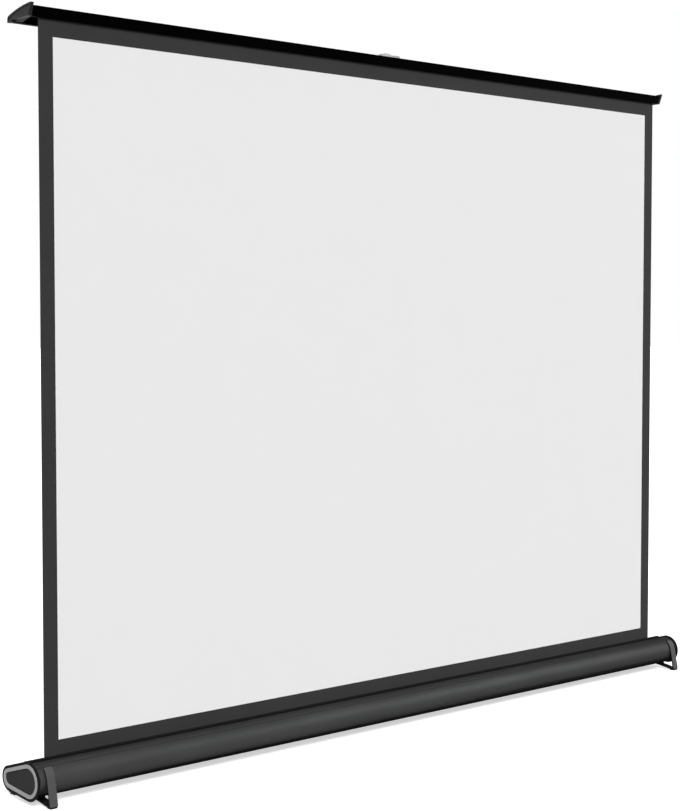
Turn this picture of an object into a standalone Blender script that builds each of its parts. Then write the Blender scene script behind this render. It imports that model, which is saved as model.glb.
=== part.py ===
"""Tabletop projection screen: a spring roller in a drop-shaped base, a fabric with a black border, and a bar
that a folding arm behind the fabric holds up. Metres, +Z up, +X along the base, +Y away from the viewer.
The origin is on the table, under the middle of the fabric."""
import math

import bmesh
import bpy
from mathutils import Matrix, Vector

# Clearances
SEAT_GAP = 0.0003
RUN_GAP = 0.00025

# Picture and fabric
PICTURE_WIDTH = 1.016
PICTURE_HEIGHT = 0.762
SIDE_BORDER = 0.0183
TOP_BORDER = 0.0189
BOTTOM_BORDER = 0.0206
FABRIC_THICKNESS = 0.0004
FABRIC_HALF_WIDTH = PICTURE_WIDTH / 2 + SIDE_BORDER

# Base housing: a drop section, drawn round a barrel in front and a tail behind
BARREL_Y = -0.0165
BARREL_Z = 0.0270
BARREL_RADIUS = 0.0182
TAIL_Y = 0.0235
TAIL_Z = 0.0228
TAIL_RADIUS = 0.0105
HOUSING_WALL = 0.0018
SLOT_WIDTH = 0.0025
WEB_THICKNESS = 0.0022
TROUGH_WIDTH = 0.0173
GROOVE_ANGLE = math.radians(123)
GROOVE_WIDTH = 0.0014
GROOVE_DEPTH = 0.0008
SEAL_WIDTH = 0.0031
SEAL_HEIGHT = 0.0042
SEAL_ROUND = 0.0010
SEAL_SINK = 0.0006
PORT_RADIUS = 0.0026
PORT_BORE_RADIUS = 0.0014
PORT_INSET = 0.0022

# Feet
FOOT_OFFSET = 0.0088
FOOT_INNER_X = FABRIC_HALF_WIDTH + FOOT_OFFSET
FOOT_WIDTH = 0.0101
FOOT_BAND = 0.0013
FOOT_GROOVE_GAP = math.radians(3)
REAR_HOLD = math.radians(25)
FRONT_TOE_Y = -0.0420
FRONT_TOE_LENGTH = 0.0095
REAR_TOE_Y = 0.0432
REAR_TOE_LENGTH = 0.0120
LEG_THICKNESS = 0.0024
ARCH_RISE = 0.0036
ARCH_BAR = 0.0018
PAD_THICKNESS = 0.0015
PAD_INSET = 0.0006

# End caps, with a ring and a plate let into the face
CAP_END_WALL = 0.0037
CAP_RIM_DEPTH = 0.0010
CAP_BACK = 0.0004
LEFT_CAP_RIM = 0.0034
RIGHT_CAP_RIM = 0.0020
LEFT_CAP_REACH = 0.0301
RIGHT_CAP_REACH = 0.0258
RING_OUTSET = 0.0002
RING_WIDTH = 0.0041
RING_DEPTH = 0.0014
RING_PROUD = 0.0004
PLATE_RECESS = 0.0004
BOSS_RADIUS = 0.0068
BOSS_LENGTH = 0.0040

# Roller
ROLLER_RADIUS = 0.0095
ROLLER_WALL = 0.0012
ROLLER_END_GAP = 0.0010
WRAP_THICKNESS = 0.0015
ARBOR_RADIUS = 0.0040
ARBOR_DRUM_RADIUS = 0.0052
ARBOR_DRUM_LENGTH = 0.0640
PLUG_LENGTH = 0.0140
PLUG_LIP = 0.0015
SPRING_WIRE_RADIUS = 0.0006
SPRING_TURNS = 22
SPRING_PITCH = 0.0025

# Top bar
BAR_OVERHANG = 0.0090
BAR_HALF_LENGTH = FABRIC_HALF_WIDTH + BAR_OVERHANG
BAR_WALL = 0.0016
BAR_HEIGHT = 0.0109
BAR_FRONT_Y = -0.0075
BAR_FRONT_FOOT_Y = -0.0027
BAR_CROWN_RADIUS = 0.1670
BAR_FALL = 0.0095
BAR_REAR_Y = 0.0386
BAR_REAR_ROUND = 0.0030
BAR_SKIRT_DROP = 0.0023
BAR_LIP_LENGTH = 0.0065
HEM_ROD_RADIUS = 0.0018
HEM_GROOVE_WALL = 0.0014
HEM_SLOT_WIDTH = 0.0014
BAR_CAP_THICKNESS = 0.0042
BAR_CAP_PROUD = 0.0030
BAR_CAP_REAR_PROUD = 0.0014
BAR_CAP_EDGE = 0.0018
BAR_CAP_RECESS = 0.0006
BAR_PLUG_LENGTH = 0.0080
BAR_PLUG_HEIGHT = 0.0040

# Folding arm
ARM_PIVOT_Z = 0.0245
BAR_PIVOT_DROP = 0.0033
LINK_THICKNESS = 0.0035
LINK_HALF_WIDTH = 0.0048
EYE_RADIUS = 0.0065
PIN_RADIUS = 0.0025
PIN_HEAD_RADIUS = 0.0043
PIN_HEAD_THICKNESS = 0.0009
WASHER_RADIUS = 0.0058
ARM_WASHER_THICKNESS = 0.0006
KNEE_WASHER_THICKNESS = 0.0008
BRACKET_PLATE = 0.0020
BRACKET_HALF_LENGTH = 0.0180
ARM_STACK_Y = 0.0060
STOP_RADIUS = 0.0020
STOP_RISE = 0.0100
SCREW_RADIUS = 0.0013
SCREW_HEAD_RADIUS = 0.0026
SCREW_HEAD_THICKNESS = 0.0011
BRACKET_SCREW_LENGTH = 0.0010
CAP_SCREW_LENGTH = 0.0080

# Pull tab on the bar
TAB_FRONT_Y = 0.0070
TAB_DEPTH = 0.0060
TAB_LENGTH = 0.0174
TAB_END_X = 0.0002
TAB_HEIGHT = 0.0052
TAB_CROWN = 0.0015
TONGUE_WIDTH = 0.0024
TAB_PIN_RADIUS = 0.0011
TAB_PIN_INSET = 0.0035
TAB_KNUCKLE_RADIUS = 0.0022
BLOCK_GAP = 0.0007
BLOCK_LENGTH = 0.0137
BLOCK_CORNER = 0.0018

# Facets
ROUND_STEPS = 32
PIN_STEPS = 20
OUTLINE_STEP = math.radians(9)

OBJECT_NAME = "tabletop_projection_screen"
SIDES = {"left": -1.0, "right": 1.0}
CAP_FACE_X = {"left": FABRIC_HALF_WIDTH + LEFT_CAP_REACH, "right": FABRIC_HALF_WIDTH + RIGHT_CAP_REACH}
CAP_RIM = {"left": LEFT_CAP_RIM, "right": RIGHT_CAP_RIM}
HOUSING_END = {name: face - CAP_END_WALL - SEAT_GAP for name, face in CAP_FACE_X.items()}

for old in list(bpy.data.objects):
    bpy.data.objects.remove(old, do_unlink=True)
parts = bpy.data.collections.new(OBJECT_NAME)
cutters = bpy.data.collections.new("cutters")
bpy.context.scene.collection.children.link(parts)
bpy.context.scene.collection.children.link(cutters)


def material(name, colour, roughness, metallic=0.0):
    """A plain finish for one kind of piece."""
    made = bpy.data.materials.new(name)
    made.use_nodes = True
    shader = made.node_tree.nodes["Principled BSDF"]
    shader.inputs["Base Color"].default_value = (*colour, 1.0)
    shader.inputs["Roughness"].default_value = roughness
    shader.inputs["Metallic"].default_value = metallic
    return made


CHARCOAL = material("charcoal_anodised", (0.050, 0.050, 0.052), 0.42, 0.6)
BLACK_METAL = material("black_anodised", (0.012, 0.012, 0.013), 0.40, 0.5)
DARK_PLASTIC = material("dark_plastic", (0.040, 0.040, 0.042), 0.55)
FOOT_PLASTIC = material("foot_plastic", (0.090, 0.090, 0.094), 0.50)
GREY_PLASTIC = material("grey_plastic", (0.330, 0.330, 0.335), 0.45)
LIGHT_PLASTIC = material("light_plastic", (0.560, 0.560, 0.560), 0.45)
RUBBER = material("black_rubber", (0.015, 0.015, 0.015), 0.85)
STEEL = material("zinc_steel", (0.450, 0.450, 0.460), 0.35, 1.0)
FABRIC_WHITE = material("white_fabric", (0.810, 0.810, 0.810), 0.90)
FABRIC_BLACK = material("black_border", (0.045, 0.045, 0.046), 0.85)


# Frames that turn a drawing's x, y and depth into the object's axes
ACROSS = Matrix(((0, 0, 1, 0), (1, 0, 0, 0), (0, 1, 0, 0), (0, 0, 0, 1)))
ALONG = Matrix(((1, 0, 0, 0), (0, 0, -1, 0), (0, 1, 0, 0), (0, 0, 0, 1)))


def place(obj, collection, finish=None):
    """Put an object in its collection, with its finish."""
    for holder in list(obj.users_collection):
        holder.objects.unlink(obj)
    collection.objects.link(obj)
    if finish:
        obj.data.materials.clear()
        obj.data.materials.append(finish)
    if collection is cutters:
        obj.hide_render = True
        obj.display_type = "WIRE"
    return obj


def settle(obj):
    """Turn an object's evaluated shape into a plain welded mesh object with its own axes."""
    bpy.context.view_layer.update()
    graph = bpy.context.evaluated_depsgraph_get()
    mesh = bpy.data.meshes.new_from_object(obj.evaluated_get(graph))
    mesh.transform(obj.matrix_world)
    name = obj.name
    bpy.data.objects.remove(obj, do_unlink=True)
    shape = bmesh.new()
    shape.from_mesh(mesh)
    bmesh.ops.remove_doubles(shape, verts=shape.verts, dist=1e-6)
    bmesh.ops.recalc_face_normals(shape, faces=shape.faces)
    shape.to_mesh(mesh)
    shape.free()
    mesh.shade_smooth()
    mesh.set_sharp_from_angle(angle=math.radians(35))
    made = bpy.data.objects.new(name, mesh)
    made.name = name
    return made


def prism(name, outlines, start, end, frame=ACROSS, collection=parts, finish=None):
    """Extrude flat outlines, the later ones being holes, between two depths of a frame."""
    curve = bpy.data.curves.new(name, "CURVE")
    curve.dimensions = "2D"
    curve.fill_mode = "BOTH"
    curve.extrude = abs(end - start) / 2
    for outline in outlines:
        spline = curve.splines.new("POLY")
        spline.points.add(len(outline) - 1)
        for point, (u, v) in zip(spline.points, outline):
            point.co = (u, v, 0, 1)
        spline.use_cyclic_u = True
    obj = bpy.data.objects.new(name, curve)
    parts.objects.link(obj)
    obj.matrix_world = frame @ Matrix.Translation((0, 0, (start + end) / 2))
    return place(settle(obj), collection, finish)


def loft(name, stations, finish):
    """A solid through like outlines, each at its own distance along X."""
    count = len(stations[0][0])
    vertices = [(x, *point) for outline, x in stations for point in outline]
    faces = [range(count), range(len(vertices) - count, len(vertices))]
    for first in range(0, len(vertices) - count, count):
        for i in range(count):
            here, following = first + i, first + (i + 1) % count
            faces.append((here, following, following + count, here + count))
    mesh = bpy.data.meshes.new(name)
    mesh.from_pydata(vertices, [], faces)
    obj = bpy.data.objects.new(name, mesh)
    parts.objects.link(obj)
    return place(settle(obj), parts, finish)


def turned(name, profile, centre, direction, steps=PIN_STEPS, collection=parts, finish=None):
    """Turn a profile of radius and height about an axis. The profile runs down its outer side."""
    mesh = bpy.data.meshes.new(name)
    closed = profile[0][0] > 0
    edges = [(i, i + 1) for i in range(len(profile) - 1)]
    if closed:
        edges.append((len(profile) - 1, 0))
    mesh.from_pydata([(radius, 0, height) for radius, height in profile], edges, [])
    obj = bpy.data.objects.new(name, mesh)
    parts.objects.link(obj)
    screw = obj.modifiers.new("turn", "SCREW")
    screw.steps = steps
    screw.render_steps = steps
    screw.use_merge_vertices = True
    screw.merge_threshold = 1e-6
    turn = Vector(direction).to_track_quat("Z", "Y").to_matrix().to_4x4()
    obj.matrix_world = Matrix.Translation(centre) @ turn
    return place(settle(obj), collection, finish)


def combine(target, other, operation):
    """Join another shape to a piece, or cut it out, and keep the result as the piece's mesh."""
    change = target.modifiers.new(operation.lower(), "BOOLEAN")
    change.operation = operation
    change.solver = "EXACT"
    change.object = other
    name, holder = target.name, target.users_collection[0]
    finish = target.data.materials[0] if target.data.materials else None
    made = settle(target)
    made.name = name
    bpy.data.objects.remove(other, do_unlink=True)
    return place(made, holder, finish)


def join(target, other):
    return combine(target, place(other, cutters), "UNION")


def cut(target, other):
    return combine(target, place(other, cutters), "DIFFERENCE")


def on_circle(centre, radius, angle):
    return (centre[0] + radius * math.cos(angle), centre[1] + radius * math.sin(angle))


def arc(centre, radius, start, end, step=OUTLINE_STEP):
    """Points of an arc from one angle to another, either way round."""
    count = max(2, math.ceil(abs(end - start) / step))
    return [on_circle(centre, radius, start + (end - start) * i / count) for i in range(count + 1)]


def circle(centre, radius, steps=PIN_STEPS):
    return arc(centre, radius, 0, 2 * math.pi * (1 - 1 / steps), 2 * math.pi / steps)


def box_outline(low, high):
    return [low, (high[0], low[1]), high, (low[0], high[1])]


def round_box(low, high, radius):
    """A rectangle with round corners."""
    corners = [(high[0] - radius, high[1] - radius), (low[0] + radius, high[1] - radius),
               (low[0] + radius, low[1] + radius), (high[0] - radius, low[1] + radius)]
    return [point for i, corner in enumerate(corners)
            for point in arc(corner, radius, i * math.pi / 2, (i + 1) * math.pi / 2, math.radians(30))]


def tangent_angle(centre, radius, point, side):
    """The angle on a circle where a line from an outside point touches it."""
    across, up = point[0] - centre[0], point[1] - centre[1]
    return math.atan2(up, across) + side * math.acos(radius / math.hypot(across, up))


# The drop section: two circles and the two lines that touch both

BARREL = (BARREL_Y, BARREL_Z)
TAIL = (TAIL_Y, TAIL_Z)


def drop_angles(front, front_radius, tail, tail_radius):
    """The directions that the drop's upper and lower lines face."""
    lean = math.atan2(tail[1] - front[1], tail[0] - front[0])
    spread = math.acos((front_radius - tail_radius) / math.dist(front, tail))
    return lean + spread, lean - spread


UPPER, LOWER = drop_angles(BARREL, BARREL_RADIUS, TAIL, TAIL_RADIUS)


def section(grow):
    """The housing's outer section, grown all round."""
    return arc(BARREL, BARREL_RADIUS + grow, UPPER, LOWER + 2 * math.pi) + arc(TAIL, TAIL_RADIUS + grow, LOWER, UPPER)


def line_height(facing, y, grow):
    """The height of the section's upper or lower line at a distance back, grown outward."""
    reach = BARREL_RADIUS + grow
    return (reach - (y - BARREL_Y) * math.cos(facing)) / math.sin(facing) + BARREL_Z


def top_height(y, grow=0.0):
    return line_height(UPPER, y, grow)


def bottom_height(y, grow=0.0):
    return line_height(LOWER, y, grow)


SLOT_FRONT = -FABRIC_THICKNESS / 2 - SEAT_GAP
SLOT_REAR = SLOT_FRONT + SLOT_WIDTH
SEAL_FRONT = SLOT_FRONT - SEAL_WIDTH
TROUGH_FRONT = SLOT_REAR + WEB_THICKNESS
TROUGH_REAR = TROUGH_FRONT + TROUGH_WIDTH
PICTURE_BOTTOM = top_height(0.0) + BOTTOM_BORDER
PICTURE_TOP = PICTURE_BOTTOM + PICTURE_HEIGHT
BAR_BOTTOM = PICTURE_TOP + TOP_BORDER
BAR_TOP = BAR_BOTTOM + BAR_HEIGHT
INNER = -HOUSING_WALL
PORTS = {"front": (SLOT_REAR - PORT_INSET, bottom_height(SLOT_REAR - PORT_INSET, INNER) + PORT_INSET),
         "rear": (TAIL_Y + TAIL_RADIUS - HOUSING_WALL - PORT_INSET, TAIL_Z)}

# The folding arm's layers stack from front to back, each a gap behind the last
EAR_BACK = ARM_STACK_Y + BRACKET_PLATE
ARM_WASHER_Y = EAR_BACK + SEAT_GAP
LOWER_Y = ARM_WASHER_Y + ARM_WASHER_THICKNESS + SEAT_GAP
KNEE_WASHER_Y = LOWER_Y + LINK_THICKNESS + SEAT_GAP
UPPER_Y = KNEE_WASHER_Y + KNEE_WASHER_THICKNESS + SEAT_GAP
TOP_EAR_Y = UPPER_Y + LINK_THICKNESS + SEAT_GAP


def groove_half():
    """Half the angle that the decorative groove takes on the barrel."""
    return math.asin(GROOVE_WIDTH / 2 / BARREL_RADIUS)


def make_housing():
    """The base extrusion: a round chamber for the roller, open at the fabric's slot, and a trough for the arm."""
    half = groove_half()
    groove = arc(BARREL, BARREL_RADIUS - GROOVE_DEPTH, GROOVE_ANGLE - half / 2, GROOVE_ANGLE + half / 2, half)
    inside = BARREL_RADIUS - HOUSING_WALL
    step = SEAL_FRONT - SEAT_GAP
    outline = [(y, top_height(y, -SEAL_SINK)) for y in (SLOT_FRONT, step)] + [(step, top_height(step))]
    outline += arc(BARREL, BARREL_RADIUS, UPPER, GROOVE_ANGLE - half)
    outline += groove
    outline += arc(BARREL, BARREL_RADIUS, GROOVE_ANGLE + half, LOWER + 2 * math.pi)
    outline += arc(TAIL, TAIL_RADIUS, LOWER, UPPER)
    outline += [(TROUGH_REAR, top_height(TROUGH_REAR)), (TROUGH_REAR, top_height(TROUGH_REAR, INNER))]
    outline += arc(TAIL, TAIL_RADIUS - HOUSING_WALL, UPPER, LOWER)
    outline += [(TROUGH_FRONT, bottom_height(TROUGH_FRONT, INNER)), (TROUGH_FRONT, top_height(TROUGH_FRONT))]
    outline += [(SLOT_REAR, top_height(SLOT_REAR)), (SLOT_REAR, bottom_height(SLOT_REAR, INNER))]
    outline += arc(BARREL, inside, LOWER + 2 * math.pi, UPPER)
    outline += [(SLOT_FRONT, top_height(SLOT_FRONT, INNER))]
    ends = (-HOUSING_END["left"], HOUSING_END["right"])
    housing = prism("housing", [outline], *ends, finish=CHARCOAL)
    for name, centre in PORTS.items():
        housing = join(housing, prism("port_" + name, [circle(centre, PORT_RADIUS, 16)], *ends))
        beyond = (ends[0] - SEAT_GAP, ends[1] + SEAT_GAP)
        housing = cut(housing, prism("bore_" + name, [circle(centre, PORT_BORE_RADIUS, 12)], *beyond))
    for side in (-1, 1):
        hole = bracket_screw_place(side)
        housing = cut(housing, turned("screw_hole", screw_hole_profile(), hole, (0, 0, 1), collection=cutters))
    return housing


def make_seal():
    """The black strip let into the slot's front lip, which the fabric slides against."""
    top = top_height(0.0) + SEAL_HEIGHT
    outline = [(y, top_height(y, SEAT_GAP - SEAL_SINK)) for y in (SEAL_FRONT, SLOT_FRONT)] + [(SLOT_FRONT, top)]
    outline += arc((SEAL_FRONT + SEAL_ROUND, top - SEAL_ROUND), SEAL_ROUND, math.pi / 2, math.pi, math.radians(15))
    prism("slot_seal", [outline], -HOUSING_END["left"], HOUSING_END["right"], finish=RUBBER)


# Feet

FOOT_BOTTOM = PAD_THICKNESS + SEAT_GAP


def arch_height(y):
    """The underside of a foot between its toes, a flat arch."""
    front = FRONT_TOE_Y + FRONT_TOE_LENGTH
    rear = REAR_TOE_Y - REAR_TOE_LENGTH
    return FOOT_BOTTOM + ARCH_RISE * math.sin(math.pi * (y - front) / (rear - front))


def foot_outlines():
    """A foot: a cradle held under the groove in front and behind the tail, two toes, and a window behind."""
    hold, tail_hold = BARREL_RADIUS + SEAT_GAP, TAIL_RADIUS + SEAT_GAP
    reach, tail_reach = hold + FOOT_BAND, tail_hold + FOOT_BAND
    front, rear = (FRONT_TOE_Y, FOOT_BOTTOM), (REAR_TOE_Y, FOOT_BOTTOM)
    inner_front, inner_rear = FRONT_TOE_Y + FRONT_TOE_LENGTH, REAR_TOE_Y - REAR_TOE_LENGTH
    top = GROOVE_ANGLE + groove_half() + FOOT_GROOVE_GAP
    leg_outside = tangent_angle(BARREL, reach, front, -1) + 2 * math.pi
    ankle = (FRONT_TOE_Y + LEG_THICKNESS, FOOT_BOTTOM + ARCH_BAR)
    leg_inside = tangent_angle(BARREL, hold, ankle, -1) + 2 * math.pi
    rear_outside = tangent_angle(TAIL, tail_reach, rear, 1)

    def over_arch(y):
        return arch_height(max(y, inner_front)) + ARCH_BAR

    spread = [inner_front + (BARREL_Y - inner_front) * i / 8 for i in range(9)]
    bar_top = [(y, over_arch(y)) for y in spread
               if over_arch(y) < BARREL_Z - math.sqrt(hold ** 2 - (y - BARREL_Y) ** 2)]
    meet = math.atan2(-math.sqrt(hold ** 2 - (bar_top[-1][0] - BARREL_Y) ** 2), bar_top[-1][0] - BARREL_Y)
    arch = [(y, arch_height(y)) for y in
            (inner_rear + (inner_front - inner_rear) * i / 12 for i in range(13))]
    outline = [front] + arc(BARREL, reach, leg_outside, top) + arc(BARREL, hold, top, leg_inside)
    outline += [ankle] + bar_top + arc(BARREL, hold, meet + math.radians(4), LOWER)
    outline += arc(TAIL, tail_hold, LOWER, REAR_HOLD) + arc(TAIL, tail_reach, REAR_HOLD, rear_outside)
    outline += [rear] + arch

    tail_y, tail_z = on_circle(TAIL, tail_reach, rear_outside)

    def behind(z):
        return REAR_TOE_Y + (tail_y - REAR_TOE_Y) * (z - FOOT_BOTTOM) / (tail_z - FOOT_BOTTOM) - LEG_THICKNESS

    sill = FOOT_BOTTOM + ARCH_BAR
    high = bottom_height(inner_rear, SEAT_GAP + FOOT_BAND)
    low_y = inner_rear - (high - sill)
    rear_window = [(low_y, bottom_height(low_y, SEAT_GAP + FOOT_BAND)), (inner_rear, high), (behind(high), high),
                   (behind(sill), sill), (inner_rear, sill)]
    return [outline, rear_window]


def make_feet():
    outlines = foot_outlines()
    for name, side in SIDES.items():
        ends = (side * FOOT_INNER_X, side * (FOOT_INNER_X + FOOT_WIDTH))
        prism("foot_bracket_" + name, outlines, *ends, finish=FOOT_PLASTIC)
        low_x, high_x = min(ends) + PAD_INSET, max(ends) - PAD_INSET
        pads = {"front": (FRONT_TOE_Y, FRONT_TOE_Y + FRONT_TOE_LENGTH),
                "rear": (REAR_TOE_Y - REAR_TOE_LENGTH, REAR_TOE_Y)}
        for place_name, (low_y, high_y) in pads.items():
            shape = round_box((low_y, low_x), (high_y - PAD_INSET * 2, high_x), PAD_INSET * 2)
            flat = [(x, y) for y, x in shape]
            prism("foot_pad_%s_%s" % (name, place_name), [flat], 0.0, PAD_THICKNESS, Matrix(), finish=RUBBER)


# End caps


def ring_outline(shrink):
    """The trim ring's drop, shrunk all round."""
    return section(RING_OUTSET - shrink)


def make_caps():
    """The caps: a rim that tapers back to the housing's section, a ring and a plate in its face, and a boss behind."""
    lap = SEAT_GAP
    for name, side in SIDES.items():
        face = CAP_FACE_X[name]
        seat = face - CAP_END_WALL
        rim = face - CAP_RIM_DEPTH
        pocket = face - RING_DEPTH
        sink = pocket - SCREW_HEAD_THICKNESS - SEAT_GAP
        edge = section(CAP_RIM[name])
        stations = [(edge, side * face), (edge, side * rim), (section(CAP_BACK), side * seat)]
        cap = loft("end_cap_" + name, stations, DARK_PLASTIC)
        cap = cut(cap, prism("pocket", [ring_outline(-SEAT_GAP)], side * pocket, side * (face + lap)))
        boss = prism("boss", [circle(BARREL, BOSS_RADIUS, 24)], side * (seat - BOSS_LENGTH), side * (seat + lap))
        cap = join(cap, boss)
        bore = [circle(BARREL, ARBOR_RADIUS + RUN_GAP, 24)]
        cap = cut(cap, prism("boss_bore", bore, side * (seat - BOSS_LENGTH - lap), side * seat))
        for centre in PORTS.values():
            hole = [circle(centre, SCREW_RADIUS + RUN_GAP, 12)]
            cap = cut(cap, prism("cap_hole", hole, side * (seat - lap), side * (pocket + lap)))
            head = [circle(centre, SCREW_HEAD_RADIUS + RUN_GAP, 16)]
            cap = cut(cap, prism("cap_sink", head, side * sink, side * (pocket + lap)))

        ring = [ring_outline(0), ring_outline(RING_WIDTH)]
        prism("trim_ring_" + name, ring, side * (pocket + SEAT_GAP), side * (face + RING_PROUD), finish=GREY_PLASTIC)
        plate = [ring_outline(RING_WIDTH + SEAT_GAP)]
        prism("face_plate_" + name, plate, side * (pocket + SEAT_GAP), side * (face - PLATE_RECESS),
              finish=DARK_PLASTIC)
        for port, centre in PORTS.items():
            profile = [(0, SCREW_HEAD_THICKNESS), (SCREW_HEAD_RADIUS, SCREW_HEAD_THICKNESS), (SCREW_HEAD_RADIUS, 0),
                       (SCREW_RADIUS, 0), (SCREW_RADIUS, -CAP_SCREW_LENGTH), (0, -CAP_SCREW_LENGTH)]
            turned("cap_screw_%s_%s" % (name, port), profile, (side * (sink + SEAT_GAP / 2), *centre), (side, 0, 0), 12,
                   finish=STEEL)


# Roller


def make_roller():
    """The spring roller: tube, plugs, the fabric left on it, the fixed arbor with its spring, and the idler pin."""
    inside = ROLLER_RADIUS - ROLLER_WALL
    reach = {name: end - BOSS_LENGTH - PLUG_LIP - ROLLER_END_GAP for name, end in HOUSING_END.items()}
    tube = [circle(BARREL, ROLLER_RADIUS, ROUND_STEPS), circle(BARREL, inside, ROUND_STEPS)]
    prism("roller_tube", tube, -reach["left"], reach["right"], finish=STEEL)
    wrap = ROLLER_RADIUS + SEAT_GAP
    layers = [circle(BARREL, wrap + WRAP_THICKNESS, ROUND_STEPS), circle(BARREL, wrap, ROUND_STEPS)]
    prism("fabric_wraps", layers, -FABRIC_HALF_WIDTH, FABRIC_HALF_WIDTH, finish=FABRIC_BLACK)
    bore = ARBOR_RADIUS + RUN_GAP
    spigot = inside - SEAT_GAP
    profile = [(bore, PLUG_LIP), (ROLLER_RADIUS, PLUG_LIP), (ROLLER_RADIUS, 0), (spigot, 0),
               (spigot, -PLUG_LENGTH), (bore, -PLUG_LENGTH)]
    for name, side in SIDES.items():
        centre = (side * (reach[name] + SEAT_GAP), *BARREL)
        turned("roller_plug_" + name, profile, centre, (side, 0, 0), ROUND_STEPS, finish=DARK_PLASTIC)

    neck = BOSS_LENGTH + PLUG_LIP + ROLLER_END_GAP + PLUG_LENGTH + 2 * SEAT_GAP
    neck_end = HOUSING_END["left"] - neck
    arbor = [(0, 0), (ARBOR_RADIUS, 0), (ARBOR_RADIUS, -neck), (ARBOR_DRUM_RADIUS, -neck),
             (ARBOR_DRUM_RADIUS, -neck - ARBOR_DRUM_LENGTH), (0, -neck - ARBOR_DRUM_LENGTH)]
    turned("roller_arbor", arbor, (-HOUSING_END["left"], *BARREL), (-1, 0, 0), 24, finish=STEEL)
    pin = [(0, 0), (ARBOR_RADIUS, 0), (ARBOR_RADIUS, -neck), (0, -neck)]
    turned("idler_pin", pin, (HOUSING_END["right"], *BARREL), (1, 0, 0), 24, finish=STEEL)

    coil_radius = ARBOR_DRUM_RADIUS + SEAT_GAP + SPRING_WIRE_RADIUS
    length = SPRING_TURNS * SPRING_PITCH
    start = -neck_end + (ARBOR_DRUM_LENGTH - length) / 2
    points_per_turn = 12
    coil = []
    for i in range(SPRING_TURNS * points_per_turn + 1):
        turn = i / points_per_turn
        angle = 2 * math.pi * turn
        coil.append(Vector((start + turn * SPRING_PITCH, BARREL_Y + coil_radius * math.cos(angle),
                            BARREL_Z + coil_radius * math.sin(angle))))
    least = min((coil[i] - coil[j]).length for i in range(0, len(coil), 3)
                for j in range(i + points_per_turn // 2, min(i + 2 * points_per_turn, len(coil))))
    print("roller spring: least gap between turns %.2f mm" % (1000 * (least - 2 * SPRING_WIRE_RADIUS)))
    wire = bpy.data.curves.new("roller_spring", "CURVE")
    wire.dimensions = "3D"
    wire.bevel_depth = SPRING_WIRE_RADIUS
    wire.bevel_resolution = 1
    wire.use_fill_caps = True
    spline = wire.splines.new("POLY")
    spline.points.add(len(coil) - 1)
    for point, where in zip(spline.points, coil):
        point.co = (*where, 1)
    spring = bpy.data.objects.new("roller_spring", wire)
    parts.objects.link(spring)
    place(settle(spring), parts, STEEL)


# The bar's top: a shallow arc that falls from the front edge to the rear


def crown_centre():
    front, rear = (BAR_FRONT_Y, BAR_TOP), (BAR_REAR_Y, BAR_TOP - BAR_FALL)
    chord = math.dist(front, rear)
    deep = math.sqrt(BAR_CROWN_RADIUS ** 2 - (chord / 2) ** 2)
    return ((front[0] + rear[0]) / 2 - deep * BAR_FALL / chord,
            (front[1] + rear[1]) / 2 - deep * (rear[0] - front[0]) / chord)


CROWN = crown_centre()


def crown_angle(y, grow=0.0):
    return math.acos((y - CROWN[0]) / (BAR_CROWN_RADIUS + grow))


def crown_height(y, grow=0.0):
    return CROWN[1] + (BAR_CROWN_RADIUS + grow) * math.sin(crown_angle(y, grow))


def crown_arc(start_y, end_y, grow=0.0):
    """Points of the bar's top between two distances back, grown outward."""
    return arc(CROWN, BAR_CROWN_RADIUS + grow, crown_angle(start_y, grow), crown_angle(end_y, grow), math.radians(2))


def crown_to_rear(start_y, rear_y, grow, radius):
    """The bar's top from a distance back to its upright rear face, with a round edge between them."""
    across = rear_y - radius - CROWN[0]
    facing = math.acos(across / (BAR_CROWN_RADIUS + grow - radius))
    centre = (rear_y - radius, CROWN[1] + across * math.tan(facing))
    top = arc(CROWN, BAR_CROWN_RADIUS + grow, crown_angle(start_y, grow), facing, math.radians(2))
    return top[:-1] + arc(centre, radius, facing, 0, math.radians(20))


# Fabric

HEM_RADIUS = HEM_ROD_RADIUS + SEAT_GAP
HEM_CENTRE = (0.0, crown_height(0.0, -BAR_WALL) - HEM_GROOVE_WALL - HEM_RADIUS)
FABRIC_TOP = HEM_CENTRE[1] - HEM_ROD_RADIUS - SEAT_GAP


def make_fabric():
    """The sheet from the roller to the hem: off the back of the roll, over the slot's front lip, straight up."""
    half = FABRIC_THICKNESS / 2
    roll = ROLLER_RADIUS + 2 * SEAT_GAP + WRAP_THICKNESS + half
    bend = top_height(0.0, INNER)
    leave = tangent_angle(BARREL, roll, (0.0, bend), -1)
    start = on_circle(BARREL, roll, leave)
    lean = math.atan2(-start[0], bend - start[1])
    side = (half * math.cos(lean), -half * math.sin(lean))
    front = [(start[0] - side[0], start[1] - side[1]), (-half, bend), (-half, FABRIC_TOP)]
    back = [(half, FABRIC_TOP), (half, bend), (start[0] + side[0], start[1] + side[1])]
    fabric = prism("screen_fabric", [front + back], -FABRIC_HALF_WIDTH, FABRIC_HALF_WIDTH, finish=FABRIC_WHITE)
    fabric.data.materials.append(FABRIC_BLACK)
    shape = bmesh.new()
    shape.from_mesh(fabric.data)
    edges = [((x, 0, 0), (1, 0, 0)) for x in (-PICTURE_WIDTH / 2, PICTURE_WIDTH / 2)]
    edges += [((0, 0, z), (0, 0, 1)) for z in (PICTURE_BOTTOM, PICTURE_TOP)]
    for point, normal in edges:
        everything = shape.verts[:] + shape.edges[:] + shape.faces[:]
        bmesh.ops.bisect_plane(shape, geom=everything, plane_co=point, plane_no=normal, dist=1e-6)
    for face in shape.faces:
        middle = face.calc_center_median()
        inside = abs(middle.x) < PICTURE_WIDTH / 2 and PICTURE_BOTTOM < middle.z < PICTURE_TOP
        face.material_index = 0 if inside else 1
    shape.to_mesh(fabric.data)
    shape.free()


# Top bar

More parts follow.
